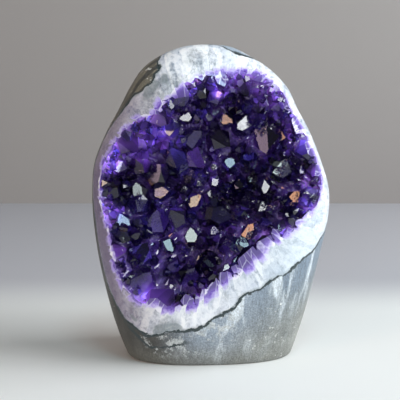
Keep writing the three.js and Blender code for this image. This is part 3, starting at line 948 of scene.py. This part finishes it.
def large_crystals():
    """The large crystals: each turned until its first tip face looks its way with the tip on the
    side given, and put where the middle of that face stands a little off the hollow's floor."""
    table = np.array([row[:3] + LOOKS[row[3]] + row[4:] for row in LARGE], float)
    x, z, radius = table[:, :3].T
    aside, upwards, lie = np.radians(table[:, 3:]).T
    face = way_to(aside, upwards)
    uphill = np.stack([np.cos(lie), 0 * lie, np.sin(lie)], -1)
    uphill = unit(uphill - (uphill * face).sum(axis=1, keepdims=True) * face)
    along = 1 / np.hypot(1, TIP_SLOPE)
    axis = face * along + uphill * TIP_SLOPE * along
    downhill = face * TIP_SLOPE * along - uphill * along
    basis = np.stack([downhill, np.cross(axis, downhill), axis], axis=-1)
    c, s = np.cos(np.pi / 6), np.sin(np.pi / 6)
    turn = basis @ np.array([[c, s, 0], [-s, c, 0], [0, 0, 1]])
    count = LARGE_COUNTS + np.arange(len(LARGE))
    rows, tip = crystal_rows(count, radius, LARGE_LENGTH * radius, np.ones(len(LARGE), bool))
    angle, share = seen_from_front(MOUTH, np.stack([x, 0 * x, z], axis=-1))
    middle = bowl(HOLLOW, share, angle)
    middle[:, 1] -= LARGE_RISE[0] + LARGE_RISE[1] * radius
    root = middle + LARGE_TIP * radius[:, None] * uphill - np.einsum("nij,nj->ni", turn, tip)
    return count, np.einsum("nij,nrkj->nrki", turn, rows) + root[:, None, None]


def strewn_crystals(total, first, radii, lengths, clear, perch, inner):
    """Crystals in a sunflower's order over the hollow, pointing out of it, with the radius and the
    length drawn by chance, except where a large one stands within the clear share of its radius.
    They start on the floor, or up to perch above it. The ground outside over them comes forward
    from the rim to its belly, as the square of the share falls; where a tip would stand in front
    of it the crystal stands deeper."""
    i = np.arange(total)
    count = first + i
    ordered = np.sqrt(inner**2 + (FARTHEST**2 - inner**2) * (i + 0.5) / total)
    share = ordered + draw(SHARE_STRAY, count, 1)
    angle = i * GOLDEN_ANGLE + draw(ANGLE_STRAY, count, 2)
    radius = draw(radii, count, 3)
    root = bowl(HOLLOW, share, angle)
    large = np.array([row[:3] for row in LARGE])
    apart = np.hypot(root[:, :1] - large[:, 0], root[:, 2:] - large[:, 1])
    free = (apart > clear * large[:, 2] + OVERLAP * radius[:, None]).all(axis=1)
    normal = facing(HOLLOW, share, angle)
    aside, upwards = draw(LEAN_ASIDE, count, 5), draw(LEAN_ASIDE, count, 7)
    lean = np.stack([aside, -draw(LEAN_FRONT, count, 6), upwards], -1)
    axis = unit(LEAN_OUT * normal + lean)
    rows, _ = crystal_rows(count, radius, radius * draw(lengths, count, 4), np.zeros(total, bool))
    rows = stand(rows, axis, 2 * np.pi * chance(count, 8))
    root = root + perch * chance(count, 9)[:, None] * normal
    _, rim_depth = around(MOUTH, np.degrees(angle))
    cover = BELLY + (rim_depth - BELLY) * np.minimum(share, 1) ** 2
    proud = cover + draw(CLEARANCE, count, 10) - (rows[:, 0, 0, 1] + root[:, 1])
    ground = np.cos(angle - GROUND_SIDE) > np.cos(GROUND_SPREAD)
    sink = np.where(ground, GROUND_SINK, 1) * np.maximum(proud, 0) / -axis[:, 1]
    root = root - sink[:, None] * axis
    return count[free], (rows + root[:, None, None])[free]


def sowings(rows):
    """Sorts crystals into sowings in which none touches another: each takes the first sowing that
    none of the crystals before it, near enough for their round bounds to meet, has taken."""
    middle = rows.mean(axis=(1, 2))
    bound = np.linalg.norm(rows - middle[:, None, None], axis=-1).max(axis=(1, 2))
    apart = np.linalg.norm(middle[:, None] - middle[None], axis=-1)
    near = apart < bound[:, None] + bound[None] + SOWING_GAP
    sowing = np.zeros(len(rows), int)
    for i in range(1, len(rows)):
        taken = set(sowing[:i][near[i, :i]])
        sowing[i] = next(k for k in range(len(rows)) if k not in taken)
    return sowing


def lining(name):
    """The thin crust that joins the crystals: the hollow's surface there and back, one crust apart."""
    low = bowl_points(hollow_surface, LINING_REACH, LINING_GRID)
    return closed_skin(name, np.concatenate([low, (low + [0, -CRUST, 0])[::-1]]))


kinds = [large_crystals()] + [strewn_crystals(*kind) for kind in STREWN]
numbers = np.concatenate([kind[0] for kind in kinds])
rows = np.concatenate([kind[1] for kind in kinds])
sowing = sowings(rows)

amethyst = lining("amethyst_piece")
for k in range(sowing.max() + 1):
    join(amethyst, crystal_mesh("sowing", rows[sowing == k], numbers[sowing == k]), "UNION")
join(amethyst, in_front("hollow", raised(hollow_surface, LAYER_GAP), HOLLOW_GRID), "INTERSECT")
join(amethyst, whole_stone("outside"), "INTERSECT")

# what is drawn by chance for the faces: its name, how many numbers share a draw (all the faces of
# a crystal, or one), and which draw it is; that of etched leaves the brightest large faces clean
# the draw for each face alone gives painted light and shade: a tone of its own for every face
DRAWS = [("lot", PARTS, 41), ("hue", PARTS, 43), ("painted_face_light", 1, 41), ("etched", PARTS, 1718)]
CRUST_DRAW = 0.7  # the same for the crust between the crystals
SECTION_SHARE = 0.8  # how far out the crust's own faces are ground sections, 1 being the mouth
SECTION_TURN = -0.2  # how far such a face may turn in, as the cosine of its angle to outwards


def mark_crystals(piece):
    """Writes, face by face, what is drawn by chance, and which faces are ground sections: those of
    the crust itself near the mouth's edge that don't look into the hollow."""
    mark_growth(piece)
    faces = piece.data.polygons
    numbers = np.empty(len(faces), np.int32)
    piece.data.attributes["crystal"].data.foreach_get("value", numbers)
    for name, shared, which in DRAWS:
        drawn = chance((numbers // shared).astype(float), which)
        write_values(piece, name, np.where(numbers > 0, drawn, CRUST_DRAW), "FACE")
    angle, share = seen_from_front(MOUTH, vectors(faces, "center") / MM)
    normal = vectors(faces, "normal")
    outwards = normal[:, 0] * np.cos(angle) + normal[:, 2] * np.sin(angle)
    ground = (numbers == 0) & (share > SECTION_SHARE) & (outwards > SECTION_TURN)
    write_values(piece, "ground", ground, "FACE")


# places where the crust is paler: x, y, z and reach, in mm
PALE_SPOTS = [
    (-29, -21, 106, 19),
    (-12, -18, 130, 10),
    (4, -16, 129, 8),
    (13, -15, 133, 9),
    (25, -15, 129, 12),
    (42, -15, 107, 13),
    (49, -15, 85, 9),
    (43, -20, 71, 8),
    (28, -26, 58, 9),
    (18, -28, 48, 8),
    (-3, -33, 34, 10),
    (-25, -32, 34, 12),
    (-43, -27, 52, 7),
    (-47, -22, 70, 8),
    (-46, -22, 96, 9),
    (-38, -22, 106, 11),
    (34, -24, 64, 7),
    (10, -30, 44, 7),
]
GROWTH = 12  # rise above the hollow's floor that counts as full growth, in mm


def violet_quartz():
    """Amethyst: see-through quartz, milky at the root and in the paler places, then lilac, and deep
    violet from a few millimetres up. Each crystal is lighter or darker than the next by chance, and
    each of its faces is painted lighter or darker on its own: painted light and shade for the light
    that passes through each face. Some faces are mirror bright and some a little etched.
    Where the crystals were ground flat their sections show, each coloured to its own depth."""
    material, tree, shader, where = new_material("violet_quartz")
    ground = read(tree, "ground")
    rise = plus(read(tree, "mouth"), times(noise(where, 300, 3), 2.4))
    grown = reckon("DIVIDE", rise, GROWTH)
    color = ramp(grown, [
        (0.0, (0.48, 0.39, 0.78)),
        (0.16, (0.34, 0.23, 0.68)),
        (0.34, (0.16, 0.09, 0.45)),
        (0.7, (0.065, 0.03, 0.22)),
    ])
    milky = ragged_near_to(where, PALE_SPOTS)
    deep = tinted(color, read(tree, "lot"), [
        (0.0, (0.3, 0.27, 0.36)),
        (0.7, (0.85, 0.8, 0.95)),
        (1.0, (1.6, 1.5, 1.6)),
    ])
    # painted light and shade: each face lighter or darker by its own draw, for the light that passes
    # through it
    deep = tinted(deep, read(tree, "painted_face_light"), [(0.0, (0.12,) * 3), (0.6, (0.55,) * 3), (1.0, (1.6,) * 3)])
    deep = tinted(deep, milky, [(0.0, (0.68, 0.66, 0.8)), (1.0, (2.3, 2.0, 2.4))])
    deep = tinted(deep, read(tree, "hue"), [
        (0.0, (0.6, 0.85, 1.1)),
        (0.5, (1.0, 1.0, 1.0)),
        (1.0, (1.1, 0.87, 0.86)),
    ])
    deep = tinted(deep, noise(where, 55, 2), [(0.4, (0.45,) * 3), (0.6, (1.25,) * 3)])
    color = blend(between(grown, 0.0, 0.2), color, deep)
    section = violet_ends(tree, where, (0.85, 0.85, 0.92))
    color = blend(ground, color, blend(0.1, section, (0.62, 0.54, 1.0)))
    clearness = plus(times(milky, -0.45), 0.62)
    clearness = times(clearness, between(ground, 1.6, 0.0))
    etching = [(0.0, (0.03,) * 3), (0.5, (0.05,) * 3), (1.0, (0.22,) * 3)]
    fill(shader, {
        "Base Color": color,
        "Roughness": ramp(read(tree, "etched"), etching),
        "IOR": 1.544,
        "Specular IOR Level": 0.65,
        "Transmission Weight": times(between(grown, 0.0, 0.35), clearness),
    })
    sugared = between(noise(where, 110, 2), 0.56, 0.64)
    sugared = times(cells(where, 1100, "Distance"), sugared)
    uneven = times(noise(where, 160, 1), 0.25)
    uneven = plus(uneven, times(noise(where, 700, 3), 0.07))
    relief(shader, plus(uneven, times(sugared, 1.3)), 0.00015)
    inside = tree.nodes.new("ShaderNodeVolumeAbsorption")
    fill(inside, {"Color": (0.5, 0.27, 0.85, 1), "Density": 140.0})
    fill(tree.nodes["Material Output"], {"Volume": inside.outputs["Volume"]})
    return material


mark_crystals(amethyst)
amethyst.data.shade_flat()
amethyst.data.materials.clear()
amethyst.data.materials.append(violet_quartz())
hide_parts("amethyst_crystals")
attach(amethyst, "root")

# The stage: a pale floor and a wall behind it, neither part of the object, soft light from the
# right with a few smaller lamps that flash in the crystal faces, and the camera.
TARGET = np.array([-0.0053, 0, 0.0746])  # what the camera and the lamps look at
ELEVATION = np.radians(6.5)  # how high above level the camera stands, seen from there
DISTANCE = 0.456  # from the camera to that place
LAMP_DISTANCE = 1.2
WIDE = 2  # how far the floor and the wall run to each side
WALL_AT = 0.62
PALE = (0.80, 0.80, 0.79)  # the floor, and the same in its farther part
SHADED = (0.47, 0.465, 0.50)
SHADE = (0.08, 0.19)  # y where that part begins, and where it is fully shaded


def flat_sheet(name, low, high, roughness):
    """One face between two opposite corners, across and then back or up, with a plain material."""
    (left, near, bottom), (right, far, top) = low, high
    corners = [low, (right, near, bottom), high, (left, far, top)]
    mesh = bpy.data.meshes.new(name)
    mesh.from_pydata(corners, [], [(0, 1, 2, 3)])
    placed(name, mesh)
    material, _, shader, where = new_material(name)
    fill(shader, {"Roughness": roughness})
    mesh.materials.append(material)
    return shader, where


shader, where = flat_sheet("floor", (-WIDE, -WIDE, 0), (WIDE, WALL_AT, 0), 0.5)
darkened = between(axes_of(where)[1], *SHADE)
fill(shader, {"Base Color": blend(darkened, PALE, SHADED)})
shader, _ = flat_sheet("wall", (-WIDE, WALL_AT, 0), (WIDE, WALL_AT, WIDE), 0.9)
fill(shader, {"Base Color": (0.31, 0.29, 0.28, 1)})

camera = placed("camera", bpy.data.cameras.new("camera"))
camera.data.lens = 85
camera.data.sensor_width = 36
camera.location = TARGET + DISTANCE * np.array([0, -np.cos(ELEVATION), np.sin(ELEVATION)])
camera.rotation_euler = (np.pi / 2 - ELEVATION, 0, 0)
bpy.context.scene.camera = camera


def lamp(name, aside, upwards, size, radiance, color, height=None):
    """A soft light of that width and height, square unless given, seen from the stone that many
    degrees to the right of the front and upwards, turned towards the stone. Its power gives its face
    the radiance asked for."""
    height = height or size
    way = way_to(*np.radians([aside, upwards]))
    light = bpy.data.lights.new(name, "AREA")
    light.shape = "RECTANGLE"
    light.size = size
    light.size_y = height
    light.energy = radiance * np.pi * size * height
    light.color = color
    holder = placed(name, light)
    holder.location = TARGET + LAMP_DISTANCE * way
    holder.rotation_euler = Vector(way).to_track_quat("Z", "Y").to_euler()


lamp("window", 57, 34, 0.39, 10.6, (0.95, 0.98, 1))
lamp("wide_window", 88, 28, 0.8, 8, (0.93, 0.98, 1))
lamp("sky", 14, 58, 0.29, 9.5, (0.62, 0.9, 1))
lamp("orange_lamp", -40, 17, 0.15, 11.5, (1, 0.52, 0.3), 0.29)
lamp("cream_lamp", -47.2, 17, 0.15, 9.5, (1, 0.8, 0.62), 0.29)
lamp("front_window", -20, 6, 0.29, 11.2, (0.85, 1, 0.97))
lamp("side_glow", -68, 2, 0.3, 4, (0.9, 0.65, 0.75))

world = bpy.data.worlds.new("room")
world.use_nodes = True
world.node_tree.nodes["Background"].inputs["Color"].default_value = (0.8, 0.82, 0.85, 1)
world.node_tree.nodes["Background"].inputs["Strength"].default_value = 0.18
bpy.context.scene.world = world
bpy.context.scene.view_settings.view_transform = "Standard"
